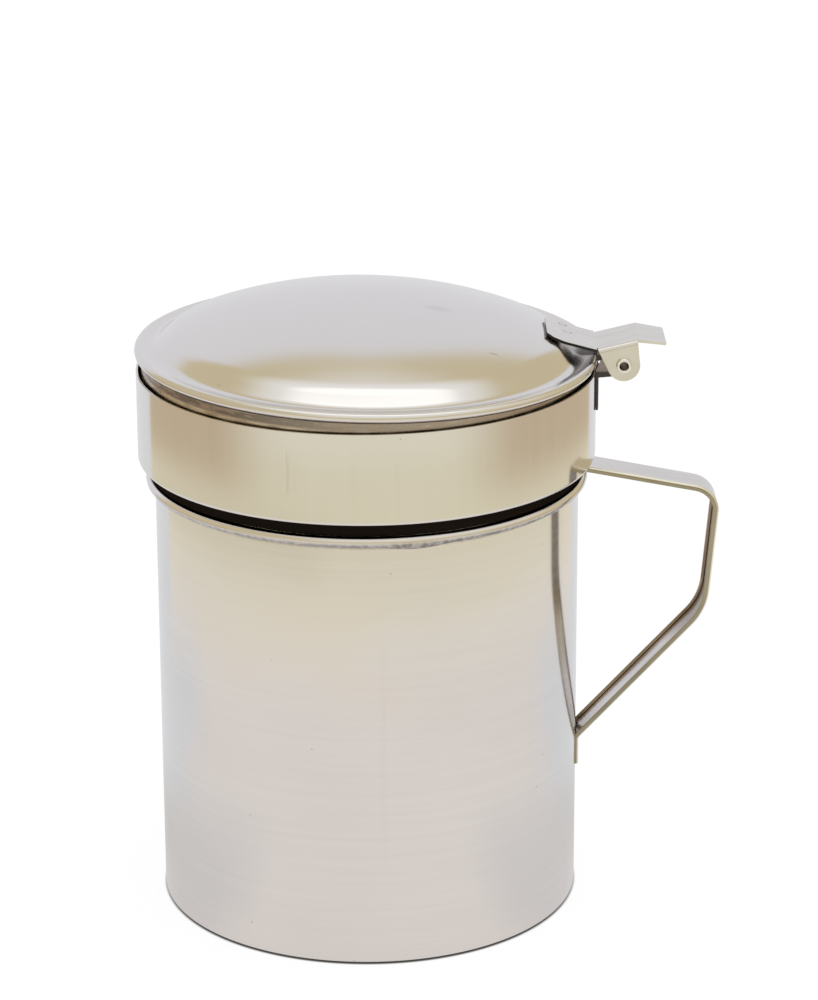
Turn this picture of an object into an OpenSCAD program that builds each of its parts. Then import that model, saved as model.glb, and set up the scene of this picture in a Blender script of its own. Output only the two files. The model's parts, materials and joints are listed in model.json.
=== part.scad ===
/* [Pot] */
// Outside diameter of the pot's wall
pot_d = 108; // [90:1:140]
// Height of the pot to the top of its rolled rim
pot_h = 114.3; // [95:0.1:150]
// Sheet of the pot's wall
pot_sheet = 0.5; // [0.4:0.05:0.8]
// Outside diameter of the curl that the rim is rolled into
curl_d = 2.8; // [2.4:0.1:4]
// Height of the wall's lower edge above the surface that the base stands on
wall_lift = 0.4; // [0:0.05:1]

/* [Base] */
// Sheet of the pressed base
base_sheet = 0.6; // [0.4:0.05:1]
// Width of the flat ring that the pot stands on
base_ring_w = 13; // [8:0.5:24]
// Rise of the base's middle panel above that ring
base_rise = 1.8; // [1:0.1:4]
// Height of the base's upturned flange inside the wall
base_flange_h = 7; // [4:0.5:14]
// Bend radius under the base's flange
base_bend = 1.5; // [1:0.1:3]

/* [Handle] */
// Width of the handle's strip
handle_w = 10.5; // [8:0.5:16]
// Sheet of the handle's strip
handle_sheet = 0.6; // [0.4:0.05:1]
// Depth of the lips folded along both edges of the strip
handle_lip = 1.45; // [1.2:0.05:3]
// Distance of the handle's top corner from the pot's wall
handle_reach = 36.4; // [28:0.2:55]
// Slope of the handle's top strip, down from the rim
handle_slope = 10.8; // [0:0.2:18]
// Height of the strip's top face over the rim, at the rim's outer edge
rim_over = 0.75; // [0.2:0.05:1]
// Height of the grip between the handle's two corners
grip_h = 32.8; // [22:0.2:45]
// Lean of the grip, in towards the pot at its lower end
grip_lean = 5.1; // [0:0.1:10]
// Height at which the strip comes back to the wall
foot_z = 40.4; // [25:0.2:50]
// Length of the foot that is welded down the wall
foot_len = 7.2; // [5:0.2:14]
// Bend radius of the top corner
top_bend = 7.2; // [4:0.2:10]
// Bend radius of the lower corner
low_bend = 16; // [6:0.5:20]
// Bend radius above the foot
foot_bend = 1.2; // [0.8:0.1:3]

/* [Strainer cup] */
// Distance by which the collar stands out past the pot's rim
collar_out = 1.9; // [1.2:0.1:4]
// Height of the collar
collar_h = 23.2; // [16:0.2:36]
// Gap between the pot's rim and the collar's lower edge
collar_gap = 3.7; // [2.6:0.1:8]
// Sheet of the strainer cup
cup_sheet = 0.6; // [0.4:0.05:0.9]
// Bend radius of the collar's lower edge
collar_bend = 0.9; // [0.7:0.05:1.1]
// Depth of the neck from the seat to the cup's ledge
neck_depth = 16.2; // [10:0.2:40]
// Clearance between the cup's seat and the pot's rim
seat_fit = 0.3; // [0.1:0.05:0.4]
// Clearance between the neck and the pot's mouth
mouth_fit = 0.3; // [0.2:0.05:0.5]
// Draw of the neck on each side, narrower at its lower end
neck_draw = 0.9; // [0.3:0.1:2]
// Width of the ledge that carries the screen
ledge_w = 5; // [3:0.2:8]

/* [Strainer screen] */
// Sheet of the perforated screen
screen_sheet = 0.5; // [0.4:0.05:1]
// Diameter of one hole in the screen
hole_d = 2.6; // [1.6:0.1:3.4]
// Distance between the rings of holes
hole_pitch = 5.6; // [4.6:0.1:9]

/* [Lid] */
// Distance by which the lid's folded edge stands out past the collar
lid_out = 0.3; // [0:0.1:0.8]
// Sheet of the lid
lid_sheet = 0.6; // [0.4:0.05:0.8]
// Height of the dome above the collar's top edge, with the lid shut
lid_h = 17.3; // [15:0.1:22]
// Distance of the dome's shoulder from the lid's edge
shoulder_in = 9.4; // [8:0.1:12]
// Height of the lid's folded edge
fold_h = 2.5; // [2:0.1:4]
// Gap between the folded edge and the collar, with the lid shut
lid_gap = 1.1; // [0.6:0.1:2]
// Distance of the valley round the dome from the lid's edge
valley_in = 4.6; // [4:0.1:7]
// Steepness of the flank that runs down from the dome to the valley
flank_slope = 40; // [32:1:50]
// Bend radius between the dome and its flank
flank_bend = 6; // [2:0.2:8]
// Bend radius in the valley
valley_bend = 2.2; // [1.2:0.1:2.6]
// Rise of the sheet from the valley to the folded edge
valley_rise = 8; // [0:1:12]
// Clearance between the lid's skirt and the collar's inside
skirt_clear = 0.8; // [0.6:0.1:2]
// Height of the skirt below the folded edge
skirt_h = 5.4; // [3:0.1:9]
// Bend radius between the folded edge and the skirt
skirt_bend = 0.4; // [0.3:0.05:0.8]
// Angle at which the lid stands ajar
lid_ajar = 1.3; // [0:0.1:4]

/* [Hinge] */
// Distance of the hinge axis from the collar's outside
hinge_out = 6.5; // [5.5:0.1:9]
// Height of the hinge axis above the collar's top edge
hinge_up = 1.7; // [0.5:0.1:3]
// Outside diameter of the tubular rivet
rivet_d = 3; // [2.4:0.1:3.6]
// Bore of the tubular rivet
rivet_bore = 2.1; // [1.2:0.1:2.2]
// Radial clearance of the rivet in the ears
rivet_clear = 0.05; // [0.02:0.01:0.08]
// Clearance between the hinge's ears, and under the rivet's rolled ends
ear_gap = 0.3; // [0.2:0.05:0.6]
// Width of the bracket over its ears
bracket_w = 15; // [11:0.5:22]
// Sheet of the bracket
bracket_sheet = 0.6; // [0.5:0.05:0.9]
// Radius of the bracket's ears round the rivet
bracket_ear_r = 3; // [2.6:0.1:3.6]
// Height of the bracket's ears where they leave the collar
bracket_root_h = 1.8; // [1.4:0.1:3]
// Length of the bracket's tab below its ears
tab_len = 8.5; // [5:0.5:14]

/* [Thumb lever] */
// Sheet of the thumb lever
lever_sheet = 0.7; // [0.5:0.05:0.9]
// Distance from the lid's edge at which the strap lies on the dome
strap_in = 11.3; // [10.5:0.1:13]
// Length of the strap that lies on the dome
strap_len = 4.8; // [3.4:0.1:6]
// Height of the lever's web above the hinge axis
web_lift = 5.55; // [4.8:0.05:8]
// Slope of the web, up and away from the lid
web_slope = 14.4; // [8:0.2:22]
// Length of the web on the lid's side of the hinge axis
web_in = 5.6; // [5:0.1:6.4]
// Length of the web on the thumb's side of the hinge axis
web_out = 4.9; // [4.4:0.1:8]
// Length of the thumb rest beyond the web
thumb_len = 7.3; // [5:0.1:14]
// Droop of the thumb rest
thumb_droop = 7.5; // [0:0.1:12]
// Width of the thumb rest at its tip
thumb_w = 13.6; // [9:0.1:16]
// Outside radius of the folds between the web and its ears
ear_bend = 1.3; // [1:0.1:1.8]
// Radius of the lever's ears round the rivet
lever_ear_r = 4.1; // [3.4:0.1:4.4]
// Size of the clipped corners at the end of the strap
corner_clip = 1.6; // [0.8:0.1:3]

/* [Hidden] */
$fn = 96;

// Gap left for solder or a spot weld between two sheets
weld_gap = 0.05;
// Straight stretches shorter than this are left out between two bends
tiny = 0.0001;
// Fineness of a bend: the largest angle and the longest chord between two points
bend_angle = 10;
bend_chord = 2.5;

pot_r = pot_d / 2;
mouth_r = pot_r - pot_sheet;
curl_r = curl_d / 2;
rim_r = mouth_r + curl_d;
// Gap between the curl's free edge and the wall
curl_tuck = pot_sheet;

base_r = mouth_r - weld_gap;
// Bend radius of the step up to the base's middle panel
step_bend = 2 * base_sheet;

handle_x = pot_r + handle_reach;
handle_root_x = rim_r - curl_r / 4;
foot_x = pot_r + weld_gap + handle_sheet;
function strip_z(x) = pot_h + rim_over - (x - rim_r) * tan(handle_slope);

collar_r = rim_r + collar_out;
collar_z = pot_h + collar_gap;
collar_top = collar_z + collar_h;
// The seat is a step under the collar, and rests on the crest of the rim
seat_r = rim_r - curl_r / 2;
seat_z = pot_h + seat_fit;
ledge_z = seat_z - neck_depth;
// The neck has its fit where the pot's mouth turns into the curl
neck_top_r = mouth_r - mouth_fit + neck_draw * (seat_fit + curl_r) / neck_depth;
neck_low_r = neck_top_r - neck_draw;
// Bend radius at the seat and at the ledge
cup_bend = 1.2 * cup_sheet;
screen_r = neck_low_r - cup_sheet - cup_bend;

hinge_x = collar_r + hinge_out;
hinge_z = collar_top + hinge_up;
pin = [hinge_x, hinge_z];
bracket_y = bracket_w / 2;
// Directions, seen from the rivet, of the bracket ear's shoulder and of the ends of its round
bracket_shoulder = 160;
bracket_ear_top = 90;
bracket_ear_low = -75;
lever_y = bracket_y + ear_gap + lever_sheet;
rivet_r = rivet_d / 2;
rivet_hole_r = rivet_r + rivet_clear;
rivet_wall = (rivet_d - rivet_bore) / 2;
rivet_end_gap = ear_gap / 2;

lid_r = collar_r + lid_out;
fold_r = fold_h / 2;
fold_z = collar_top + lid_gap;
skirt_r = collar_r - cup_sheet - skirt_clear;
// Bend radius under the folded edge, limited by the width left beside the skirt
fold_low_r = min(fold_r, lid_r - skirt_r - skirt_bend);
// Corner above the folded edge, where the valley's rise meets the edge's upright
nose_z = fold_z + fold_r + fold_r * tan(45 + valley_rise / 2);

// The dome is a cap through its apex and its shoulder, which lies on the flank's line
apex_z = collar_top + lid_h;
valley_z = nose_z - valley_in * tan(valley_rise);
shoulder_r = lid_r - shoulder_in;
dome_h = apex_z - valley_z - (shoulder_in - valley_in) * tan(flank_slope);
dome_r = (shoulder_r * shoulder_r + dome_h * dome_h) / (2 * dome_h);
dome_z = apex_z - dome_r;

// The dome ends where a bend of radius flank_bend touches both the dome and the flank
flank_foot = [lid_r - valley_in, valley_z - dome_z];
flank_off = flank_foot.x * sin(flank_slope) + flank_foot.y * cos(flank_slope);
dome_end = flank_slope - acos((flank_off - flank_bend) / (dome_r - flank_bend));
flank_run = flank_bend * tan((flank_slope - dome_end) / 2);
flank_corner = [
    dome_r * sin(dome_end) + flank_run * cos(dome_end),
    dome_z + dome_r * cos(dome_end) - flank_run * sin(dome_end),
    flank_bend
];

// Points of the lever's upper face: along the strap, and along the web over the rivet
strap_bend = 8;
web_bend = 3;
strap_slope = asin((lid_r - strap_in) / dome_r);
function strap_point(s, r) = [
    (dome_r + weld_gap + lever_sheet) * sin(strap_slope) + s * cos(strap_slope),
    dome_z + (dome_r + weld_gap + lever_sheet) * cos(strap_slope) - s * sin(strap_slope),
    r
];
function web_point(s, r) = [
    hinge_x - web_lift * sin(web_slope) + s * cos(web_slope),
    hinge_z + web_lift * cos(web_slope) + s * sin(web_slope),
    r
];
// Point above the web, where the ears' outline starts
function web_over(s) =
    [web_point(s, 0).x, web_point(s, 0).y] - lever_sheet * [sin(web_slope), -cos(web_slope)];
thumb_tip = web_point(web_out, 0) + thumb_len * [cos(thumb_droop), -sin(thumb_droop), 0];
// Direction, seen from the rivet, at which the lever's ear leaves its round end
lever_ear_back = 208;

// Plane paths: a path is a list of [x, y, bend radius] corners
function corner(path, i) = [path[i].x, path[i].y];
function heading(path, i) =
    (corner(path, i + 1) - corner(path, i)) / norm(corner(path, i + 1) - corner(path, i));
function leftward(d) = [-d.y, d.x];
function polar(r, a) = [r * cos(a), r * sin(a)];
function turn(path, i) =
    let (a = heading(path, i - 1), b = heading(path, i))
    atan2(a.x * b.y - a.y * b.x, a.x * b.x + a.y * b.y);
function bend_run(path, i) =
    i == 0 || i == len(path) - 1 ? 0 : path[i].z * tan(abs(turn(path, i)) / 2);

// Length of the straight stretch after corner i, once its bends are taken off
function straight_run(path, i) =
    norm(corner(path, i + 1) - corner(path, i)) - bend_run(path, i) - bend_run(path, i + 1);

// Points along one bend, offset to the right of the path
function bend_points(path, i, off) =
    let (
        d = heading(path, i - 1),
        angle = turn(path, i),
        side = sign(angle),
        start = corner(path, i) - d * bend_run(path, i),
        centre = start + side * leftward(d) * path[i].z,
        from = atan2(start.y - centre.y, start.x - centre.x),
        arc = path[i].z * abs(angle) * PI / 180,
        steps = ceil(max(abs(angle) / bend_angle, arc / bend_chord)),
        first = straight_run(path, i - 1) < tiny ? 1 : 0
    )
    [for (k = [first:steps]) centre + polar(path[i].z + side * off, from + angle * k / steps)];

// Points along the whole path, offset to its right
function side_points(path, off) =
    let (last = len(path) - 1)
    concat(
        [corner(path, 0) - leftward(heading(path, 0)) * off],
        [for (i = [1:1:last - 1]) each bend_points(path, i, off)],
        [corner(path, last) - leftward(heading(path, last - 1)) * off]
    );
function reversed(list) = [for (i = [len(list) - 1:-1:0]) list[i]];

// Sheet that follows a path: its outer face is the path, its thickness lies on the right
module sheet(path, thick) {
    polygon(concat(side_points(path, 0), reversed(side_points(path, thick))));
}

// A profile drawn in x and z, given a width along y and centred on it
module across(width) {
    translate([0, width / 2, 0]) rotate([90, 0, 0]) linear_extrude(width) children();
}

// What turns or is bored on the hinge's axis, which runs along y
module on_hinge() {
    translate([hinge_x, 0, hinge_z]) rotate([90, 0, 0]) children();
}

// Lid pieces are drawn shut, then swung open about the hinge axis
module ajar() {
    translate([hinge_x, 0, hinge_z]) rotate([0, lid_ajar, 0]) translate([-hinge_x, 0, -hinge_z]) children();
}

// Rolled wall: straight up, then curled outwards and back under to the wall
wall_path = [
    [mouth_r, wall_lift, 0],
    [mouth_r, pot_h, curl_r],
    [rim_r, pot_h, curl_r],
    [rim_r, pot_h - curl_d, curl_r],
    [pot_r + curl_tuck, pot_h - curl_d, 0]
];

// Pressed pan: upturned flange, flat ring to stand on, raised middle panel
base_path = [
    [base_r, base_flange_h, 0],
    [base_r, 0, base_bend],
    [base_r - base_ring_w, 0, step_bend],
    [base_r - base_ring_w - base_rise, base_rise, step_bend],
    [0, base_rise, 0]
];

// Handle strip, by its outer face: rim, top corner, lower corner, wall, foot
handle_path = [
    [handle_root_x, strip_z(handle_root_x), 0],
    [handle_x, strip_z(handle_x), top_bend],
    [handle_x - grip_h * tan(grip_lean), strip_z(handle_x) - grip_h, low_bend],
    [foot_x, foot_z, foot_bend],
    [foot_x, foot_z - foot_len, 0]
];
lip_path = [for (i = [0:3]) handle_path[i]];

// Strainer cup, by its outside: collar, shoulder, seat, tapered neck, ledge
cup_path = [
    [collar_r, collar_top, 0],
    [collar_r, collar_z, collar_bend],
    [seat_r, collar_z, cup_bend],
    [seat_r, seat_z, cup_bend],
    [neck_top_r, seat_z, cup_bend],
    [neck_low_r, ledge_z, cup_bend],
    [neck_low_r - ledge_w, ledge_z, 0]
];

// Lid, by its outside: dome, flank, valley, folded edge, skirt
lid_path = [
    [0, apex_z, 0],
    [dome_r * tan(dome_end / 2), apex_z, dome_r],
    flank_corner,
    [lid_r - valley_in, valley_z, valley_bend],
    [lid_r, nose_z, fold_r],
    [lid_r, fold_z, fold_low_r],
    [skirt_r, fold_z, skirt_bend],
    [skirt_r, fold_z - skirt_h, 0]
];

// Thumb lever, by its upper face: strap on the dome, web over the hinge, thumb rest
lever_path = [
    strap_point(-strap_len / 2, 0),
    strap_point(strap_len / 2, strap_bend),
    web_point(-web_in, web_bend),
    web_point(web_out, web_bend),
    thumb_tip
];

module pot_wall() {
    color("lightgray")
        rotate_extrude() sheet(wall_path, pot_sheet);
}

module pot_base() {
    color("silver")
        rotate_extrude() sheet(base_path, base_sheet);
}

module pot_handle() {
    color("gainsboro") difference() {
        union() {
            across(handle_w) sheet(handle_path, handle_sheet);
            for (side = [-1, 1])
                translate([0, side * (handle_w - handle_sheet) / 2, 0])
                    across(handle_sheet) sheet(lip_path, handle_lip);
        }
        cylinder(r = pot_r + weld_gap, h = pot_h);
        rotate_extrude() translate([rim_r - curl_r, pot_h - curl_r]) circle(r = curl_r + weld_gap);
    }
}

module strainer_cup() {
    color("lightgray")
        rotate_extrude() sheet(cup_path, cup_sheet);
}

module strainer_screen() {
    rings = floor((neck_low_r - ledge_w - hole_d) / hole_pitch);
    color("silver")
        translate([0, 0, ledge_z + cup_sheet + weld_gap])
            linear_extrude(screen_sheet) difference() {
                circle(r = screen_r);
                circle(d = hole_d);
                for (ring = [1:rings], k = [1:6 * ring])
                    translate(polar(ring * hole_pitch, 60 * k / ring)) circle(d = hole_d);
            }
}

// One ear of the bracket: from the collar's wall to a round end on the rivet
module bracket_ear() {
    translate(pin) circle(r = bracket_ear_r);
    polygon([
        [collar_r - bracket_sheet, collar_top - bracket_root_h],
        [collar_r - bracket_sheet, collar_top],
        pin + polar(hinge_x - lid_r - 2 * ear_gap, bracket_shoulder),
        pin + polar(bracket_ear_r, bracket_ear_top),
        pin + polar(bracket_ear_r, bracket_ear_low)
    ]);
}

module hinge_bracket() {
    tab_z = collar_top - bracket_root_h - tab_len;
    color("silver") difference() {
        union() {
            intersection() {
                translate([0, 0, tab_z])
                    cylinder(r = collar_r + weld_gap + bracket_sheet, h = collar_top - tab_z);
                translate([0, -bracket_y, tab_z])
                    cube([2 * collar_r, bracket_w, collar_top - tab_z]);
            }
            for (side = [-1, 1])
                translate([0, side * (bracket_w - bracket_sheet) / 2, 0])
                    across(bracket_sheet) bracket_ear();
        }
        translate([0, 0, tab_z - tab_len])
            cylinder(r = collar_r + weld_gap, h = 3 * tab_len + bracket_root_h);
        on_hinge() cylinder(r = rivet_hole_r, h = 2 * bracket_w, center = true);
    }
}

module hinge_rivet() {
    half = lever_y + rivet_end_gap + rivet_wall;
    color("whitesmoke") on_hinge() difference() {
        union() {
            cylinder(r = rivet_r, h = 2 * half, center = true);
            for (end = [-half, half])
                translate([0, 0, end]) rotate_extrude() translate([rivet_r, 0]) circle(r = rivet_wall);
        }
        cylinder(d = rivet_bore, h = 4 * half, center = true);
    }
}

module lid() {
    color("lightgray")
        ajar() rotate_extrude() sheet(lid_path, lid_sheet);
}

// Side view of the web and of the ears that hang from it to the rivet
module ear_outline() {
    translate(pin) circle(r = lever_ear_r);
    polygon([
        web_over(-web_in),
        web_over(web_out),
        pin + polar(lever_ear_r, 0),
        pin + polar(lever_ear_r, lever_ear_back)
    ]);
}

// The web with an ear folded down along each edge
module ear_channel() {
    drop = web_lift + lever_ear_r;
    intersection() {
        across(2 * lever_y) ear_outline();
        translate([web_point(0, 0).x, 0, web_point(0, 0).y]) rotate([0, -web_slope, 0])
            translate([-web_in, 0, 0]) rotate([90, 0, 90]) linear_extrude(web_in + web_out) sheet([
                [-lever_y, -drop, 0],
                [-lever_y, 0, ear_bend],
                [lever_y, 0, ear_bend],
                [lever_y, -drop, 0]
            ], lever_sheet);
    }
}

// Half of the lever's plan: clipped strap, web between its folds, tapered thumb rest
function plan_side(side) = [
    [lever_path[0].x, side * (lever_y - corner_clip)],
    [lever_path[0].x + corner_clip, side * lever_y],
    [web_point(-web_in, 0).x, side * lever_y],
    [web_point(-web_in, 0).x, side * (lever_y - ear_bend)],
    [web_point(web_out, 0).x, side * (lever_y - ear_bend)],
    [web_point(web_out, 0).x, side * (lever_y - lever_sheet)],
    [thumb_tip.x, side * thumb_w / 2]
];

module thumb_lever() {
    color("gainsboro") ajar() difference() {
        union() {
            intersection() {
                across(2 * lever_y) sheet(lever_path, lever_sheet);
                translate([0, 0, collar_top]) linear_extrude(lid_h)
                    polygon(concat(plan_side(-1), reversed(plan_side(1))));
            }
            ear_channel();
        }
        on_hinge() cylinder(r = rivet_hole_r, h = 4 * lever_y, center = true);
    }
}

pot_wall();
pot_base();
pot_handle();
strainer_cup();
strainer_screen();
hinge_bracket();
hinge_rivet();
lid();
thumb_lever();
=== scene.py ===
import json
import math

import bmesh
import bpy
from mathutils import Matrix, Vector


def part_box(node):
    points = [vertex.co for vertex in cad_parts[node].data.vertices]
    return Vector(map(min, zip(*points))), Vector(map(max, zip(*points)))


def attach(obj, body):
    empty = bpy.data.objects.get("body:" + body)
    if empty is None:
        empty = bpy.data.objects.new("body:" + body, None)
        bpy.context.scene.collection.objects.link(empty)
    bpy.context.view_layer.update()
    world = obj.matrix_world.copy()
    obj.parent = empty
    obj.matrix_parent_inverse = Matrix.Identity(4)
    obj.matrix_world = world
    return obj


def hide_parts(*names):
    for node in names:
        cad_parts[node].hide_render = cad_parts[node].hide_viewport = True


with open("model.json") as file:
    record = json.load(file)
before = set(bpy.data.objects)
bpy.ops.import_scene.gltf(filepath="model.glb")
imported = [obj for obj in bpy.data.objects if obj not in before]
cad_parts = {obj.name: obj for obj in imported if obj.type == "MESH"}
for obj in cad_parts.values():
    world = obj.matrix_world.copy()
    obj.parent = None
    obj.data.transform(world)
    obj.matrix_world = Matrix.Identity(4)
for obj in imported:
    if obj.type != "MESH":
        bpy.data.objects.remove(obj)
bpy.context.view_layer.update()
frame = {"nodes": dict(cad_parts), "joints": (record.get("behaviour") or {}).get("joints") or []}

# Pot wall: one stainless sheet rolled into a tube and lapped at the front, with its mouth curled
# outwards into a bead that swells over the lap. The bead's lower half and the wall just under it are
# darkened, partly as soot from the torch and partly as painted shade under the bead, and the bead's top
# is painted dark as shade where the cup's seat lies on it. The outside keeps the fine lines of a satin
# belt, and the inside is dull.
mm = 0.001
wall_low, wall_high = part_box("pot_wall")
rim_r = wall_high.x
pot_h = wall_high.z
curl_r = 1.4 * mm
bead_z = pot_h - 2 * curl_r
mouth_r = rim_r - 2 * curl_r
wall_sheet = 0.5 * mm
wall_r = mouth_r + wall_sheet
lap_start = math.radians(1)
lap_end = math.radians(24)
lap_swell = 0.75 * mm
lap_x = 3.6 * mm
lap_middle_z = 58 * mm
lap_share = 0.04
soot_and_shade_x = 24 * mm
soot_and_shade_grain = 700
bloom_z = 84 * mm
bloom_grain = 22
bloom_share = 0.4
slack = 0.1 * mm
arc_chord = 0.7 * mm
turn_steps = 240
merge_gap = 0.001 * mm
cut_round = 0.12 * mm
cut_angle = math.radians(50)
noise_low = 0.3
noise_high = 0.7
speck_brown = (0.30, 0.26, 0.21)
speck_share = 0.4


def draw(bm, start, corners):
    """Draws a vertex or a row of edges along [x, z, bend radius] corners, with true arcs at the bends."""
    points = [Vector((x, 0, z)) for x, z, _ in corners]
    geom = list(start)
    at = points[0]
    for i in range(1, len(points)):
        bend_r = corners[i][2]
        ahead = (points[i] - points[i - 1]).normalized()
        after = (points[min(i + 1, len(points) - 1)] - points[i]).normalized()
        turn = ahead.angle(after, 0)
        run = bend_r * math.tan(turn / 2)
        stop = points[i] - ahead * run
        if (stop - at).length > merge_gap:
            geom = bmesh.ops.spin(bm, geom=geom, dvec=stop - at, axis=(0, 1, 0), steps=1)["geom_last"]
        at = stop
        if run > 0:
            centre = stop + (after - ahead * math.cos(turn)).normalized() * bend_r
            steps = max(4, math.ceil(bend_r * turn / arc_chord))
            geom = bmesh.ops.spin(bm, geom=geom, cent=centre, axis=ahead.cross(after).normalized(),
                                  angle=turn, steps=steps)["geom_last"]
            at = points[i] + after * run
    return geom


def turned(corners):
    """A sheet with the given profile, turned round the pot's axis."""
    bm = bmesh.new()
    x, z, _ = corners[0]
    draw(bm, [bm.verts.new((x, 0, z))], corners)
    bmesh.ops.remove_doubles(bm, verts=bm.verts, dist=merge_gap)
    bmesh.ops.spin(bm, geom=bm.verts[:] + bm.edges[:], axis=(0, 0, 1), angle=math.tau, steps=turn_steps,
                   use_merge=True)
    bmesh.ops.remove_doubles(bm, verts=bm.verts, dist=merge_gap)
    return bm


def piece(name, bm, sheet, materials, body, node, inside):
    """A finished sheet piece: mesh, thickness, rounded cut edges, materials, and its place in the frame.

    A face's back takes the material that comes this many places (inside) after its front's."""
    mesh = bpy.data.meshes.new(name)
    bm.to_mesh(mesh)
    bm.free()
    mesh.shade_smooth()
    for material in materials:
        mesh.materials.append(material)
    made = bpy.data.objects.new(name, mesh)
    bpy.context.scene.collection.objects.link(made)
    wall = made.modifiers.new("sheet", "SOLIDIFY")
    wall.thickness = sheet
    wall.offset = -1
    wall.use_even_offset = True
    wall.material_offset = inside
    edge = made.modifiers.new("cut edge", "BEVEL")
    edge.width = cut_round
    edge.segments = 2
    edge.limit_method = "ANGLE"
    edge.angle_limit = cut_angle
    made.modifiers.new("flat faces", "WEIGHTED_NORMAL").keep_sharp = True
    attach(made, body)
    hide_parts(node)


def worked(tree, operation, *inputs):
    """A Math node over numbers and sockets."""
    made = tree.nodes.new("ShaderNodeMath")
    made.operation = operation
    for socket, value in zip(made.inputs, inputs):
        if isinstance(value, (int, float)):
            socket.default_value = value
        else:
            tree.links.new(value, socket)
    return made.outputs[0]


def product(tree, value, *others):
    """Two or more values multiplied."""
    for other in others:
        value = worked(tree, "MULTIPLY", value, other)
    return value


def eased(tree, value, start, end):
    """A smooth step of a value, from 0 at start to 1 at end."""
    made = tree.nodes.new("ShaderNodeMapRange")
    made.interpolation_type = "SMOOTHSTEP"
    made.inputs["From Min"].default_value = start
    made.inputs["From Max"].default_value = end
    tree.links.new(value, made.inputs["Value"])
    return made.outputs["Result"]


def near(tree, value, middle, full, gone):
    """A soft band: 1 up to a distance of full from the middle, and 0 from a distance of gone."""
    off = worked(tree, "ABSOLUTE", worked(tree, "SUBTRACT", value, middle))
    return eased(tree, off, gone, full)


def mixed(tree, share, first, second):
    """A colour between two colours or sockets, by a share."""
    made = tree.nodes.new("ShaderNodeMix")
    made.data_type = "RGBA"
    tree.links.new(share, made.inputs["Factor"])
    for socket, value in ((made.inputs["A"], first), (made.inputs["B"], second)):
        if isinstance(value, tuple):
            socket.default_value = (*value, 1)
        else:
            tree.links.new(value, socket)
    return made.outputs["Result"]


def spot(tree, coordinates="Object"):
    """The X, Y and Z sockets of a place on the piece."""
    place = tree.nodes.new("ShaderNodeTexCoord")
    parts = tree.nodes.new("ShaderNodeSeparateXYZ")
    tree.links.new(place.outputs[coordinates], parts.inputs[0])
    return parts.outputs["X"], parts.outputs["Y"], parts.outputs["Z"]


def steel_marks():
    """Group: marks of rolling and handling, as streaks, soft clouds and small specks."""
    group = bpy.data.node_groups.new("steel marks", "ShaderNodeTree")
    face = group.interface
    face.new_socket("Stretch", in_out="INPUT", socket_type="NodeSocketVector")
    for name in ("Streak", "Cloud", "Speck"):
        face.new_socket(name, in_out="OUTPUT", socket_type="NodeSocketFloat")
    enter = group.nodes.new("NodeGroupInput")
    leave = group.nodes.new("NodeGroupOutput")
    place = group.nodes.new("ShaderNodeTexCoord")
    pulled = group.nodes.new("ShaderNodeVectorMath")
    pulled.operation = "MULTIPLY"
    group.links.new(place.outputs["Object"], pulled.inputs[0])
    group.links.new(enter.outputs["Stretch"], pulled.inputs[1])
    streak = group.nodes.new("ShaderNodeTexNoise")
    streak.inputs["Scale"].default_value = 1
    streak.inputs["Detail"].default_value = 6
    streak.inputs["Roughness"].default_value = 0.65
    group.links.new(pulled.outputs[0], streak.inputs["Vector"])
    cloud = group.nodes.new("ShaderNodeTexNoise")
    cloud.inputs["Scale"].default_value = 24
    cloud.inputs["Detail"].default_value = 2
    group.links.new(place.outputs["Object"], cloud.inputs["Vector"])
    speck = group.nodes.new("ShaderNodeTexVoronoi")
    speck.inputs["Scale"].default_value = 95
    group.links.new(place.outputs["Object"], speck.inputs["Vector"])
    half_cloud = worked(group, "MULTIPLY", cloud.outputs["Fac"], 0.5)
    blend = worked(group, "MULTIPLY_ADD", streak.outputs["Fac"], 0.5, half_cloud)
    dot = eased(group, speck.outputs["Distance"], 0.034, 0.012)
    group.links.new(streak.outputs["Fac"], leave.inputs["Streak"])
    group.links.new(blend, leave.inputs["Cloud"])
    group.links.new(dot, leave.inputs["Speck"])
    return group


marks = steel_marks()


def steel(name, pale, dark, rough, spread, lines, bump, stains=(), tone="Cloud"):
    """Stainless steel: two tones, fine lines in roughness and bump, specks, and stains laid over."""
    made = bpy.data.materials.new(name)
    made.use_nodes = True
    tree = made.node_tree
    shader = tree.nodes["Principled BSDF"]
    shader.inputs["Metallic"].default_value = 1
    group = tree.nodes.new("ShaderNodeGroup")
    group.node_tree = marks
    group.inputs["Stretch"].default_value = lines
    colour = mixed(tree, eased(tree, group.outputs[tone], noise_low, noise_high), dark, pale)
    colour = mixed(tree, product(tree, group.outputs["Speck"], speck_share), colour, speck_brown)
    for stain, stain_colour in stains:
        colour = mixed(tree, stain(tree, group.outputs), colour, stain_colour)
    gloss = tree.nodes.new("ShaderNodeMapRange")
    gloss.inputs["From Min"].default_value = noise_low
    gloss.inputs["From Max"].default_value = noise_high
    gloss.inputs["To Min"].default_value = rough - spread
    gloss.inputs["To Max"].default_value = rough + spread
    relief = tree.nodes.new("ShaderNodeBump")
    relief.inputs["Strength"].default_value = 1
    relief.inputs["Distance"].default_value = bump
    tree.links.new(colour, shader.inputs["Base Color"])
    tree.links.new(group.outputs["Streak"], gloss.inputs["Value"])
    tree.links.new(gloss.outputs["Result"], shader.inputs["Roughness"])
    tree.links.new(group.outputs["Streak"], relief.inputs["Height"])
    tree.links.new(relief.outputs["Normal"], shader.inputs["Normal"])
    return made


def grain(tree, scale):
    """Noise at a place on the piece."""
    place = tree.nodes.new("ShaderNodeTexCoord")
    made = tree.nodes.new("ShaderNodeTexNoise")
    made.inputs["Scale"].default_value = scale
    made.inputs["Detail"].default_value = 5
    tree.links.new(place.outputs["Object"], made.inputs["Vector"])
    return made.outputs["Fac"]


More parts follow.
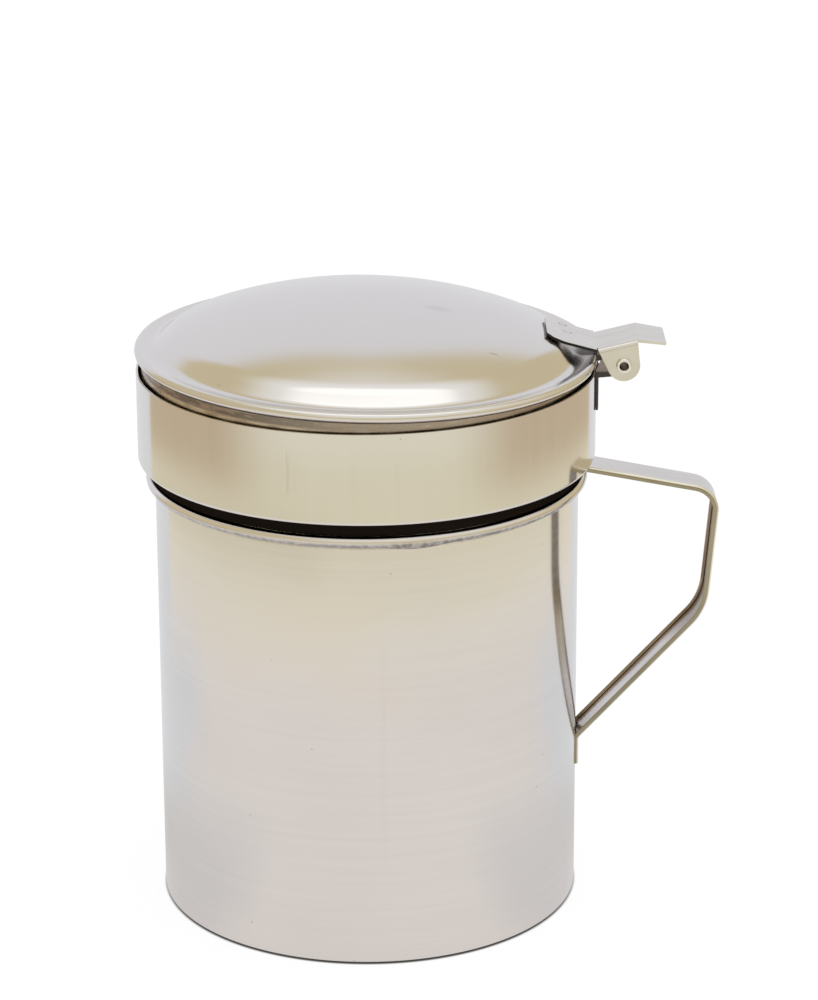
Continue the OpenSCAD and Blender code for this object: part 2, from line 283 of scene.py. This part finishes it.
def soot_and_shade(tree, marks_here):
    """Mask: soot and painted shade on the bead's lower half and just under it, heavier beside the lap."""
    x, _, z = spot(tree)
    low = eased(tree, z, bead_z - 1.1 * mm, bead_z - 0.1 * mm)
    high = eased(tree, z, bead_z + 1.7 * mm, bead_z + 0.7 * mm)
    near_lap = near(tree, x, soot_and_shade_x, full=12 * mm, gone=34 * mm)
    heavy = worked(tree, "MULTIPLY_ADD", near_lap, 0.2, 0.6)
    broken = worked(tree, "MULTIPLY_ADD", eased(tree, grain(tree, soot_and_shade_grain), 0.35, 0.6), 0.45, 0.55)
    return product(tree, low, high, heavy, broken)


def bloom(tree, marks_here):
    """Mask: faint straw-coloured patches on the wall's upper half."""
    _, _, z = spot(tree)
    high = near(tree, z, bloom_z, full=8 * mm, gone=26 * mm)
    patches = eased(tree, grain(tree, bloom_grain), 0.48, 0.66)
    return product(tree, high, patches, bloom_share)


def rim_top_shade(tree, marks_here):
    """Mask: painted shade on the top of the bead, where the cup's seat lies on it."""
    _, _, z = spot(tree)
    return eased(tree, z, pot_h - 0.25 * mm, pot_h - 0.1 * mm)


def lap_edge(tree, marks_here):
    """Mask: the lap's faint upright edge down the front."""
    x, y, z = spot(tree)
    line = near(tree, x, lap_x, full=0.2 * mm, gone=0.9 * mm)
    front = worked(tree, "LESS_THAN", y, 0)
    middle = near(tree, z, lap_middle_z, full=8 * mm, gone=45 * mm)
    return product(tree, line, front, middle, lap_share)


satin = steel(
    "satin steel", pale=(0.806, 0.79, 0.774), dark=(0.764, 0.747, 0.731),
    rough=0.11, spread=0.02, lines=(14, 14, 900), bump=0.004 * mm,
    stains=(
        (bloom, (0.80, 0.76, 0.67)),
        # Soot and painted shade on the bead's lower half and just under it.
        (soot_and_shade, (0.12, 0.105, 0.095)),
        # Painted shade on the bead's top under the cup's seat.
        (rim_top_shade, (0.14, 0.125, 0.11)),
        (lap_edge, (0.5, 0.47, 0.44)),
    ),
)
dull_inside = steel(
    "dull inside", pale=(0.72, 0.71, 0.69), dark=(0.60, 0.585, 0.56),
    rough=0.42, spread=0.08, lines=(30, 30, 500), bump=0.01 * mm,
)
wall = turned([
    (mouth_r, wall_low.z, 0),
    (mouth_r, pot_h, curl_r),
    (rim_r, pot_h, curl_r),
    (rim_r, bead_z, curl_r),
    (wall_r + wall_sheet, bead_z, 0),
])
for vert in wall.verts:
    lap = (math.atan2(vert.co.x, -vert.co.y) - lap_start) / (lap_end - lap_start)
    on_bead = vert.co.z > bead_z - slack and vert.co.xy.length > wall_r + 2 * slack
    if on_bead and 0 < lap < 1:
        depth = (pot_h - vert.co.z) / (2 * curl_r)
        vert.co.z -= lap_swell * depth * math.sin(math.pi * lap) ** 2
for face in wall.faces:
    if face.calc_center_median().xy.length < mouth_r + slack:
        face.material_index = 1
piece("pot_wall_rolled", wall, wall_sheet, [satin, dull_inside], "pot", "pot_wall", inside=-1)

# Base: a pressed pan of stainless sheet, set into the wall's lower end and soldered. It stands on a
# flat ring, and its middle panel is raised clear of the table.
_, base_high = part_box("pot_base")
base_r = base_high.x
base_ring_w = 13 * mm
base_rise = 1.8 * mm
base_sheet = 0.6 * mm
base_bend = 1.5 * mm
panel_bend = 1.2 * mm
pan = turned([
    (base_r, base_high.z, 0),
    (base_r, 0, base_bend),
    (base_r - base_ring_w, 0, panel_bend),
    (base_r - base_ring_w - base_rise, base_rise, panel_bend),
    (0, base_rise, 0),
])
piece("pot_base_pan", pan, base_sheet, [satin, dull_inside], "pot", "pot_base", inside=1)

# Handle: a strip of stainless sheet with both edges folded in as lips, bent round to a grip and
# spot-welded under the rim and low on the wall. Its inside is streaky, with painted shade near black in
# the folds and creases, and brown on the grip. Its lips are painted olive outside and brown inside as
# painted reflections, and its round folds outside carry a painted highlight.
handle_low, handle_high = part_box("pot_handle")
strip_w = handle_high.y - handle_low.y
strip_sheet = 0.6 * mm
strip_lip = 1.45 * mm
strip_fold = 0.68 * mm
strip_slope = math.radians(10.8)
strip_over = 0.75 * mm
crease_h = 0.75 * mm
crease_most = strip_lip - crease_h - 2 * slack
grip_h = 32.8 * mm
grip_lean = math.radians(5.1)
grip_bend = 16 * mm
foot_z = 40.4 * mm
foot_len = 7.2 * mm
foot_gap = 0.05 * mm
foot_bend = 1.2 * mm
corner_x = 90.4 * mm
corner_bend = 7.2 * mm
dirt_start_x = 76 * mm
dirt_full_x = 83 * mm
dirt_share = 0.75


def strip_z(x):
    """Height of the strip's top face over the table at x."""
    return pot_h + strip_over - (x - rim_r) * math.tan(strip_slope)


root_x = rim_r - curl_r / 4
foot_x = wall_r + foot_gap + strip_sheet
strip_path = [
    (root_x, strip_z(root_x), 0),
    (corner_x, strip_z(corner_x), corner_bend),
    (corner_x - grip_h * math.tan(grip_lean), strip_z(corner_x) - grip_h, grip_bend),
    (foot_x, foot_z, foot_bend),
    (foot_x, foot_z - foot_len, 0),
]
side_y = strip_w / 2
rows = [
    (-side_y, strip_lip),
    (-side_y, crease_h),
    (-side_y, 0),
    (side_y, 0),
    (side_y, crease_h),
    (side_y, strip_lip),
]
tilt = Vector((math.sin(strip_slope), 0, math.cos(strip_slope)))
root = Vector((root_x, 0, strip_z(root_x)))
strip = bmesh.new()
row_verts = [strip.verts.new(root - tilt * depth + Vector((0, y, 0))) for y, depth in rows]
row_edges = [strip.edges.new(pair) for pair in zip(row_verts, row_verts[1:])]
draw(strip, row_verts + row_edges, strip_path)
bmesh.ops.reverse_faces(strip, faces=strip.faces)
strip.normal_update()
inner_edges = [edge for edge in strip.edges if len(edge.link_faces) == 2]
folds = [edge for edge in inner_edges if edge.calc_face_angle() > math.radians(80)]
bmesh.ops.bevel(strip, geom=folds, offset=strip_fold, affect="EDGES", segments=4, profile=0.5, material=-1)
strip.normal_update()

# Faces of the strip by material: 0 is its flat, 1 a lip, 2 a round fold and 3 the crease by the fold.
for face in strip.faces:
    if abs(face.normal.y) > 0.95:
        in_crease = min(edge.calc_length() for edge in face.edges) < crease_most
        face.material_index = 3 if in_crease else 1
    elif abs(face.normal.y) > 0.05:
        face.material_index = 2


def grip_dirt(tree, marks_here):
    """Mask: the grip's inside, brown from fingers."""
    x, _, _ = spot(tree)
    return product(tree, eased(tree, x, dirt_start_x, dirt_full_x), dirt_share)


strip_top = steel(
    "polished strip", pale=(0.78, 0.76, 0.74), dark=(0.68, 0.66, 0.63),
    rough=0.2, spread=0.05, lines=(60, 900, 60), bump=0.004 * mm, tone="Streak",
)
# Painted reflection: the lips' outer faces are olive.
lip_out_reflection = steel(
    "olive lip, painted reflection", pale=(0.44, 0.41, 0.30), dark=(0.28, 0.25, 0.17),
    rough=0.3, spread=0.05, lines=(60, 60, 60), bump=0.004 * mm,
)
# Painted highlight: the strip's outer round folds are near white.
fold_out_highlight = steel(
    "fold, painted highlight", pale=(0.92, 0.90, 0.83), dark=(0.76, 0.73, 0.62),
    rough=0.2, spread=0.05, lines=(60, 60, 60), bump=0.003 * mm,
)
strip_floor = steel(
    "streaky strip", pale=(0.84, 0.82, 0.82), dark=(0.55, 0.52, 0.52),
    rough=0.22, spread=0.05, lines=(60, 1300, 60), bump=0.006 * mm, tone="Streak",
    stains=((grip_dirt, (0.26, 0.21, 0.17)),),
)
# Painted reflection: the lips' inner faces are brown.
lip_in_reflection = steel(
    "brown lip, painted reflection", pale=(0.60, 0.50, 0.41), dark=(0.42, 0.34, 0.27),
    rough=0.28, spread=0.05, lines=(60, 60, 60), bump=0.004 * mm,
)
# Painted shade: the folds and creases on the strip's inside are near black.
crease = steel(
    "painted shade in the crease", pale=(0.07, 0.06, 0.055), dark=(0.03, 0.025, 0.02),
    rough=0.5, spread=0.1, lines=(200, 200, 200), bump=0.004 * mm,
)
# Outside: flat, lip with painted olive reflection, fold with painted highlight. Inside: streaky flat, lip
# with painted brown reflection, and near-black painted shade in fold and crease.
strip_outside = [strip_top, lip_out_reflection, fold_out_highlight, lip_out_reflection]
strip_inside = [strip_floor, lip_in_reflection, crease, crease]
piece("pot_handle_strip", strip, strip_sheet, strip_outside + strip_inside,
      "pot", "pot_handle", inside=len(strip_outside))

# Strainer cup: drawn from one stainless sheet, with a collar above the pot, a seat on the rim, a
# tapered neck in the mouth and a ledge for the screen. The collar is polished, and the seat in the
# recess under the collar is painted matt black as shade.
cup_low, cup_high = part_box("strainer_cup")
collar_r = cup_high.x
collar_top = cup_high.z
collar_z = 118 * mm
collar_bend = 0.9 * mm
cup_sheet = 0.6 * mm
cup_bend = 1.2 * cup_sheet
cup_fit = 0.3 * mm
seat_r = rim_r - curl_r / 2
seat_z = pot_h + cup_fit
neck_draw = 0.9 * mm
neck_depth = 16.2 * mm
neck_top_r = mouth_r - cup_fit + neck_draw * (cup_fit + curl_r) / neck_depth
ledge_w = 5 * mm
black_low = seat_z - cup_bend
black_high = collar_z + 2 * slack
black_r = seat_r + 0.5 * cup_bend
scratch_x = -18 * mm
scratch_z = 131 * mm
scratch_share = 0.4


def scratches(tree, marks_here):
    """Mask: a patch of faint upright scratches on the collar's front, left of the middle."""
    x, y, z = spot(tree)
    patch = near(tree, x, scratch_x, full=1.6 * mm, gone=3.4 * mm)
    tall = near(tree, z, scratch_z, full=4 * mm, gone=7 * mm)
    front = worked(tree, "LESS_THAN", y, 0)
    broken = eased(tree, marks_here["Streak"], 0.46, 0.62)
    return product(tree, patch, tall, front, broken, scratch_share)


polished = steel(
    "polished cup", pale=(0.80, 0.785, 0.765), dark=(0.78, 0.762, 0.737),
    rough=0.10, spread=0.02, lines=(500, 500, 9), bump=0.001 * mm,
    stains=((scratches, (0.42, 0.38, 0.33)),),
)
# Painted shade: a near-black sheet with no gloss over the seat's recess.
seat_in_shade = steel(
    "black seat, painted shade", pale=(0.017, 0.013, 0.012), dark=(0.010, 0.008, 0.007),
    rough=0.55, spread=0.1, lines=(14, 14, 900), bump=0.01 * mm,
)
seat_shader = seat_in_shade.node_tree.nodes["Principled BSDF"]
seat_shader.inputs["Metallic"].default_value = 0
seat_shader.inputs["Specular IOR Level"].default_value = 0
cup = turned([
    (collar_r, collar_top, 0),
    (collar_r, collar_z, collar_bend),
    (seat_r, collar_z, cup_bend),
    (seat_r, seat_z, cup_bend),
    (neck_top_r, seat_z, cup_bend),
    (neck_top_r - neck_draw, cup_low.z, cup_bend),
    (neck_top_r - neck_draw - ledge_w, cup_low.z, 0),
])
# The faces of the seat's recess get the painted shade.
for face in cup.faces:
    middle = face.calc_center_median()
    if black_low < middle.z < black_high and middle.xy.length < black_r:
        face.material_index = 1
piece("strainer_cup_drawn", cup, cup_sheet, [polished, seat_in_shade],
      "strainer", "strainer_cup", inside=-1)


# Screen: a flat disc of stainless sheet, pierced with rings of round holes. It lies on the ledge
# inside the cup, and its CAD solid is shown as it is.
def dress(node, material):
    """Gives its material to a CAD solid that is shown as it is."""
    solid = frame["nodes"][node].data
    solid.materials.clear()
    solid.materials.append(material)


pierced = steel(
    "pierced sheet", pale=(0.74, 0.73, 0.71), dark=(0.64, 0.63, 0.60),
    rough=0.28, spread=0.06, lines=(700, 40, 40), bump=0.003 * mm,
)
dress("strainer_screen", pierced)


# Hinge bracket: a tab of stainless sheet welded to the collar, with two ears that carry the rivet.
# It is dull and painted dark as shade, with greyer ears and a darker tab, and its CAD solid is shown
# as it is.
def tab_shade(tree, marks_here):
    """Mask: painted shade on the tab below the collar's edge."""
    _, _, z = spot(tree)
    return eased(tree, z, collar_top + 0.3 * mm, collar_top - 0.5 * mm)


# Painted shade: the bracket is dark, and its tab darker still.
dull = steel(
    "dull bracket, painted shade", pale=(0.46, 0.41, 0.42), dark=(0.14, 0.12, 0.125),
    rough=0.3, spread=0.06, lines=(300, 60, 300), bump=0.004 * mm,
    stains=((tab_shade, (0.07, 0.06, 0.065)),),
)
dress("hinge_bracket", dull)

# Rivet: a bright steel tube through the ears of the bracket and the lever, rolled over at both ends
# outside the lever's ears. Its steel is painted whiter than the rest as a painted highlight, and its
# bore darker as painted shade. Its CAD solid is shown as it is.
hinge = next(joint for joint in frame["joints"] if joint["name"] == "lid_hinge")
pin = Vector(hinge["pos_m"])
rivet_bore = 2.1 * mm
bore_edge = 0.08 * mm


def apart(tree, across, along):
    """The length of two steps at right angles to each other."""
    squares = [worked(tree, "POWER", step, 2) for step in (across, along)]
    return worked(tree, "SQRT", worked(tree, "ADD", *squares))


def bore_shade(tree, marks_here):
    """Mask: painted shade inside the rivet's bore."""
    x, _, z = spot(tree)
    away = apart(tree, worked(tree, "SUBTRACT", x, pin.x), worked(tree, "SUBTRACT", z, pin.z))
    return worked(tree, "LESS_THAN", away, rivet_bore / 2 + bore_edge)


# Painted highlight: the rivet's steel is whiter than the rest. Painted shade: its bore is dark.
bright = steel(
    "rivet, painted highlight", pale=(0.95, 0.94, 0.92), dark=(0.86, 0.85, 0.82),
    rough=0.2, spread=0.04, lines=(300, 300, 300), bump=0.002 * mm,
    stains=((bore_shade, (0.32, 0.29, 0.20)),),
)
dress("hinge_rivet", bright)

# Lid: pressed from one stainless sheet, with a domed top, a valley round it, a folded edge and a
# skirt that plugs the collar. It lies a little ajar. The dome is polished and marked by handling, and
# is painted near black as shade beside and under the lever's strap. The hem under the fold is painted
# brown and tan as painted reflection, and streaky, with painted shade on its upper part under the fold.
lid_ajar = math.radians(1.3)
lid_sheet = 0.6 * mm
lid_over = 0.3 * mm
lid_gap = 1.1 * mm
lid_h = 17.3 * mm
lid_r = collar_r + lid_over
fold_z = collar_top + lid_gap
fold_r = 1.25 * mm
valley_w = 4.6 * mm
valley_slope = math.radians(8)
valley_bend = 4 * mm
valley_r = lid_r - valley_w
nose_z = fold_z + fold_r + fold_r * math.tan((math.radians(90) + valley_slope) / 2)
valley_z = nose_z - valley_w * math.tan(valley_slope)
flank_slope = math.radians(40)
flank_bend = 13 * mm
apex_z = collar_top + lid_h
shoulder_in = 9.4 * mm
shoulder_r = lid_r - shoulder_in
dome_h = apex_z - valley_z - (valley_r - shoulder_r) * math.tan(flank_slope)
dome_r = (shoulder_r ** 2 + dome_h ** 2) / (2 * dome_h)
dome_z = apex_z - dome_r
flank_off = valley_r * math.sin(flank_slope) + (valley_z - dome_z) * math.cos(flank_slope)
dome_end = flank_slope - math.acos((flank_off - flank_bend) / (dome_r - flank_bend))
flank_run = flank_bend * math.tan((flank_slope - dome_end) / 2)
skirt_fit = 0.8 * mm
skirt_r = collar_r - cup_sheet - skirt_fit
skirt_h = 5.4 * mm
skirt_bend = 0.4 * mm
hem_top = fold_z + 0.8 * fold_r
# Painted shade: near black on the lid beside and under the lever's strap.
strap_shade_black = (0.03, 0.025, 0.025)
shade_start_x = 50 * mm
shade_full_x = 54 * mm


def strap_shade_group():
    """Group: painted near-black shade on the lid beside and under the lever's strap."""
    group = bpy.data.node_groups.new("painted shade by the strap", "ShaderNodeTree")
    group.interface.new_socket("Mask", in_out="OUTPUT", socket_type="NodeSocketFloat")
    leave = group.nodes.new("NodeGroupOutput")
    x, y, _ = spot(group)
    _, _, toward_z = spot(group, "Normal")
    beside = near(group, y, 0, full=5 * mm, gone=6.6 * mm)
    upper = worked(group, "GREATER_THAN", toward_z, 0.05)
    outer = eased(group, x, shade_start_x, shade_full_x)
    group.links.new(product(group, beside, upper, outer), leave.inputs["Mask"])
    return group


strap_shade_marks = strap_shade_group()


def under_strap(tree, marks_here):
    """Mask: the painted shade by the strap, placed in a material of the lid."""
    group = tree.nodes.new("ShaderNodeGroup")
    group.node_tree = strap_shade_marks
    return group.outputs["Mask"]


def handled(tree, marks_here):
    """Mask: a faint smudge on the dome and a short nick in front of it."""
    x, y, _ = spot(tree)
    smudge = (18 * mm, -8 * mm, 5 * mm, 2.5 * mm, 0.14)
    nick = (31.3 * mm, -27.8 * mm, 1.5 * mm, 0.5 * mm, 0.4)
    spots = []
    for mark_x, mark_y, half_long, half_deep, share in (smudge, nick):
        across = worked(tree, "DIVIDE", worked(tree, "SUBTRACT", x, mark_x), half_long)
        along = worked(tree, "DIVIDE", worked(tree, "SUBTRACT", y, mark_y), half_deep)
        off = worked(tree, "POWER", apart(tree, across, along), 2)
        spots.append(product(tree, eased(tree, off, 1, 0), share))
    return worked(tree, "MAXIMUM", *spots)


def fold_shade(tree, marks_here):
    """Mask: painted shade on the skirt's upper part under the fold, heavier on the left."""
    x, _, z = spot(tree)
    height = worked(tree, "MULTIPLY_ADD", worked(tree, "SUBTRACT", x, pin.x), math.sin(lid_ajar), z)
    high = eased(tree, height, fold_z - 2.7 * mm, fold_z - 1.8 * mm)
    left = worked(tree, "MULTIPLY_ADD", eased(tree, x, 30 * mm, -40 * mm), 0.45, 0.45)
    broken = eased(tree, marks_here["Streak"], 0.34, 0.54)
    return product(tree, high, left, broken)


polished_lid = steel(
    "polished lid", pale=(0.79, 0.775, 0.76), dark=(0.765, 0.75, 0.735),
    rough=0.14, spread=0.02, lines=(40, 40, 40), bump=0.001 * mm,
    stains=((handled, (0.3, 0.28, 0.28)), (under_strap, strap_shade_black)),
)
# Painted reflection: the hem is painted tan and brown, with painted shade under the fold and by the strap.
hem = steel(
    "streaky hem", pale=(0.88, 0.79, 0.66), dark=(0.34, 0.27, 0.22),
    rough=0.26, spread=0.05, lines=(130, 130, 900), bump=0.01 * mm, tone="Streak",
    stains=((fold_shade, (0.15, 0.125, 0.12)), (under_strap, strap_shade_black)),
)
lid = turned([
    (0, apex_z, 0),
    (dome_r * math.tan(dome_end / 2), apex_z, dome_r),
    (dome_r * math.sin(dome_end) + flank_run * math.cos(dome_end),
     dome_z + dome_r * math.cos(dome_end) - flank_run * math.sin(dome_end), flank_bend),
    (valley_r, valley_z, valley_bend),
    (lid_r, nose_z, fold_r),
    (lid_r, fold_z, fold_r),
    (skirt_r, fold_z, skirt_bend),
    (skirt_r, fold_z - skirt_h, 0),
])
for face in lid.faces:
    if face.calc_center_median().z < hem_top:
        face.material_index = 1
bmesh.ops.rotate(lid, verts=lid.verts, cent=pin, matrix=Matrix.Rotation(lid_ajar, 3, "Y"))
piece("lid_pressed", lid, lid_sheet, [polished_lid, hem], "lid_and_lever", "lid", inside=-1)

# Thumb lever: folded from stainless sheet, as a strap spot-welded to the dome, a web over the hinge
# with two ears folded down to the rivet, and a thumb rest. The strap's cut edges are painted dark as
# shade. Its CAD solid is shown as it is.
strap_end_x = 58.3 * mm
weld_r = 1 * mm
weld_places = ((50 * mm, 6.9 * mm), (51 * mm, 1.4 * mm))


def strap_edge_shade(tree, marks_here):
    """Mask: painted shade on the strap's cut edges."""
    x, _, _ = spot(tree)
    _, _, toward_z = spot(tree, "Normal")
    upright = near(tree, toward_z, 0, full=0.3, gone=0.6)
    return product(tree, upright, worked(tree, "LESS_THAN", x, strap_end_x))


def dimples(tree, marks_here):
    """Mask: the broken rings of two spot welds on the strap."""
    x, y, _ = spot(tree)
    rings = []
    for weld_x, weld_y in weld_places:
        off = apart(tree, worked(tree, "SUBTRACT", x, weld_x), worked(tree, "SUBTRACT", y, weld_y))
        rings.append(near(tree, off, weld_r, full=0.1 * mm, gone=0.35 * mm))
    broken = eased(tree, marks_here["Streak"], 0.4, 0.6)
    return product(tree, worked(tree, "MAXIMUM", *rings), broken)


# Painted shade on the strap's edges.
folded = steel(
    "folded lever", pale=(0.78, 0.77, 0.74), dark=(0.70, 0.68, 0.64),
    rough=0.2, spread=0.05, lines=(60, 700, 60), bump=0.003 * mm, tone="Streak",
    stains=((strap_edge_shade, (0.04, 0.035, 0.035)), (dimples, (0.3, 0.29, 0.28))),
)
dress("thumb_lever", folded)

# Table: a plain white surface that keeps the pot's shadow, and is painted near black under the pot as a
# painted shadow. Metal sees it pale near the pot, greyer beside and behind the foot as a painted shadow
# of the pot, straw-coloured further out, brown at the sides and bluish behind. Each patch of colour has
# pairs that say where it starts and where it is full, in metres or as a direction.
table_half = 4
table_drop = 0.2 * mm
straw_stops = [
    (0.20, (0.69, 0.655, 0.645)),
    (0.27, (0.705, 0.665, 0.615)),
    (0.32, (0.69, 0.645, 0.53)),
    (0.38, (0.645, 0.595, 0.44)),
    (0.45, (0.635, 0.595, 0.44)),
    (0.48, (0.685, 0.655, 0.55)),
]
side_brown = (0.455, 0.355, 0.23)
side_back = (-0.85, -0.2)
side_far = (0.38, 0.44)
left_straw = (0.585, 0.535, 0.40)
left_way = (-0.2, -0.6)
left_inner = (0.31, 0.36)
left_outer = (0.41, 0.37)
# Painted shadow of the pot, as metal sees it beside the foot.
beside_shadow_grey = (0.60, 0.585, 0.60)
beside_way = (0.62, 0.92)
beside_far = (0.15, 0.09)
behind_blue = (0.62, 0.64, 0.68)
behind_left = (-0.090, -0.050)
behind_left_lean = 0.94
behind_right = (0.10, 0.04)
behind_right_lean = -0.6
behind_back = (-0.02, 0.03)
close_back = (-0.03, 0.06)
close_far = (0.28, 0.18)
# Painted shadow of the pot, as metal sees it behind the foot.
foot_shadow_grey = (0.53, 0.525, 0.53)
foot_far = (0.13, 0.07)
table_white = (0.88, 0.882, 0.898)
# Painted shadow: near black under the pot.
shadow_under_pot = (0.03, 0.03, 0.03)
lit_grey = (0.18, 0.18, 0.18, 1)
table_mesh = bmesh.new()
bmesh.ops.create_grid(table_mesh, x_segments=1, y_segments=1, size=table_half)
bmesh.ops.translate(table_mesh, verts=table_mesh.verts, vec=(0, 0, -table_drop))
table_data = bpy.data.meshes.new("table")
table_mesh.to_mesh(table_data)
table_mesh.free()
table = bpy.data.objects.new("table", table_data)
bpy.context.scene.collection.objects.link(table)
table_top = bpy.data.materials.new("table top")
table_top.use_nodes = True
tree = table_top.node_tree
tree.nodes.clear()
x, y, _ = spot(tree)
away = apart(tree, x, y)
rightward = worked(tree, "DIVIDE", x, away)
backward = worked(tree, "DIVIDE", y, away)
straw = tree.nodes.new("ShaderNodeValToRGB")
ramp = straw.color_ramp
for element, (stop, colour) in zip(ramp.elements, (straw_stops[0], straw_stops[-1])):
    element.position = stop
    element.color = (*colour, 1)
for stop, colour in straw_stops[1:-1]:
    ramp.elements.new(stop).color = (*colour, 1)
tree.links.new(away, straw.inputs["Fac"])
far_side = product(tree, eased(tree, backward, *side_back), eased(tree, away, *side_far))
far_left = product(tree, eased(tree, rightward, *left_way), eased(tree, away, *left_inner),
                   eased(tree, away, *left_outer))
sideways = worked(tree, "ABSOLUTE", rightward)
beside = product(tree, eased(tree, sideways, *beside_way), eased(tree, away, *beside_far))
left_edge = eased(tree, worked(tree, "MULTIPLY_ADD", y, behind_left_lean, x), *behind_left)
right_edge = eased(tree, worked(tree, "MULTIPLY_ADD", y, behind_right_lean, x), *behind_right)
between = product(tree, left_edge, right_edge, eased(tree, y, *behind_back))
close_by = product(tree, eased(tree, y, *close_back), eased(tree, away, *close_far))
behind = worked(tree, "MAXIMUM", between, close_by)
behind_colour = mixed(tree, eased(tree, away, *foot_far), behind_blue, foot_shadow_grey)
seen_by_metal = mixed(tree, far_side, straw.outputs["Color"], side_brown)
seen_by_metal = mixed(tree, far_left, seen_by_metal, left_straw)
seen_by_metal = mixed(tree, beside, seen_by_metal, beside_shadow_grey)
seen_by_metal = mixed(tree, behind, seen_by_metal, behind_colour)
light_path = tree.nodes.new("ShaderNodeLightPath")
tint = mixed(tree, light_path.outputs["Is Camera Ray"], seen_by_metal, table_white)
# The painted shadow under the pot, for every ray.
outside_pot = eased(tree, away, wall_r - 0.5 * mm, wall_r + 0.6 * mm)
glow = tree.nodes.new("ShaderNodeEmission")
tree.links.new(mixed(tree, outside_pot, shadow_under_pot, tint), glow.inputs["Color"])
matt = tree.nodes.new("ShaderNodeBsdfDiffuse")
matt.inputs["Color"].default_value = lit_grey
both = tree.nodes.new("ShaderNodeAddShader")
tree.links.new(glow.outputs[0], both.inputs[0])
tree.links.new(matt.outputs[0], both.inputs[1])
out = tree.nodes.new("ShaderNodeOutputMaterial")
tree.links.new(both.outputs[0], out.inputs["Surface"])
table_data.materials.append(table_top)

# Studio: a white sheet hangs behind the pot, and the room round it is sand-coloured, paler high up
# on the camera's right. The ceiling is pale round the softbox.
sheet_rise = 1.16
sheet_left = 0.9
sheet_right = 0.47
sheet_fade = (1.5, 0.9)
window_way = (0.1, 0.6)
window_rise = (0.1, 0.6)
ceiling_x = 0.08
ceiling_y = -0.12
ceiling_long = 0.38
ceiling_deep = 0.36
ceiling_fade = (2.5, 1.35)
room_sand = (0.66, 0.57, 0.385)
window_cream = (0.84, 0.80, 0.70)
ceiling_pale = (0.93, 0.92, 0.89)
sheet_white = (0.785, 0.78, 0.81)
backdrop_white = (1, 1, 1)
world = bpy.data.worlds.new("studio")
bpy.context.scene.world = world
world.use_nodes = True
tree = world.node_tree
tree.nodes.clear()
x, y, z = spot(tree, "Generated")
depth = worked(tree, "MAXIMUM", y, 0.001)
rise = worked(tree, "DIVIDE", z, depth)
aside = worked(tree, "DIVIDE", x, depth)
tall = worked(tree, "POWER", worked(tree, "DIVIDE", rise, sheet_rise), 2)
left = product(tree, worked(tree, "MINIMUM", aside, 0), -sheet_left)
right = worked(tree, "POWER", worked(tree, "DIVIDE", worked(tree, "MAXIMUM", aside, 0), sheet_right), 2)
sheet = eased(tree, worked(tree, "ADD", tall, worked(tree, "ADD", left, right)), *sheet_fade)
to_window = worked(tree, "MULTIPLY_ADD", x, 0.8, product(tree, y, -1))
window = product(tree, eased(tree, to_window, *window_way), eased(tree, z, *window_rise))
height = worked(tree, "MAXIMUM", z, 0.001)
over_x = worked(tree, "SUBTRACT", worked(tree, "DIVIDE", x, height), ceiling_x)
over_y = worked(tree, "SUBTRACT", worked(tree, "DIVIDE", y, height), ceiling_y)
across = worked(tree, "DIVIDE", over_x, ceiling_long)
along = worked(tree, "DIVIDE", over_y, ceiling_deep)
walls = mixed(tree, window, room_sand, window_cream)
walls = mixed(tree, eased(tree, apart(tree, across, along), *ceiling_fade), walls, ceiling_pale)
walls = mixed(tree, sheet, walls, sheet_white)
light_path = tree.nodes.new("ShaderNodeLightPath")
tint = mixed(tree, light_path.outputs["Is Camera Ray"], walls, backdrop_white)
back = tree.nodes.new("ShaderNodeBackground")
tree.links.new(tint, back.inputs["Color"])
out = tree.nodes.new("ShaderNodeOutputWorld")
tree.links.new(back.outputs[0], out.inputs["Surface"])

# Softbox: a broad white lamp over the lid, with cloth that glows less towards its rim.
# Its reflection is the bright lens on the dome.
lamp_long = 1.16
lamp_deep = 0.47
lamp_power = 0.54
lamp_place = (0.085, -0.012, 1.25)
cloth_fade = (0.52, 0.36)
lamp_data = bpy.data.lights.new("softbox", "AREA")
lamp_data.shape = "ELLIPSE"
lamp_data.size = lamp_long
lamp_data.size_y = lamp_deep
lamp_data.energy = lamp_power
lamp_data.use_nodes = True
tree = lamp_data.node_tree
cloth = tree.nodes.new("ShaderNodeNewGeometry")
parts = tree.nodes.new("ShaderNodeSeparateXYZ")
tree.links.new(cloth.outputs["Parametric"], parts.inputs[0])
across = worked(tree, "SUBTRACT", parts.outputs["X"], 0.5)
along = worked(tree, "SUBTRACT", parts.outputs["Y"], 0.5)
cloth_glow = eased(tree, apart(tree, across, along), *cloth_fade)
tree.links.new(cloth_glow, tree.nodes["Emission"].inputs["Strength"])
lamp = bpy.data.objects.new("softbox", lamp_data)
lamp.location = lamp_place
bpy.context.scene.collection.objects.link(lamp)

# Camera: in front of the pot and above it, looking down on the lid.
# Its place and angles are fitted to the ellipses of the base, the rim and the collar.
view_lens = 132.2
view_place = (0, -0.8898, 0.41196)
view_turn = math.radians(-0.691)
view_down = math.radians(19.048)
view_roll = math.radians(-0.218)
view_data = bpy.data.cameras.new("view")
view_data.lens = view_lens
view = bpy.data.objects.new("view", view_data)
view.matrix_world = (
    Matrix.Translation(view_place)
    @ Matrix.Rotation(view_turn, 4, "Z")
    @ Matrix.Rotation(math.radians(90) - view_down, 4, "X")
    @ Matrix.Rotation(view_roll, 4, "Z")
)
bpy.context.scene.collection.objects.link(view)
bpy.context.scene.camera = view
bpy.context.scene.view_settings.view_transform = "Standard"
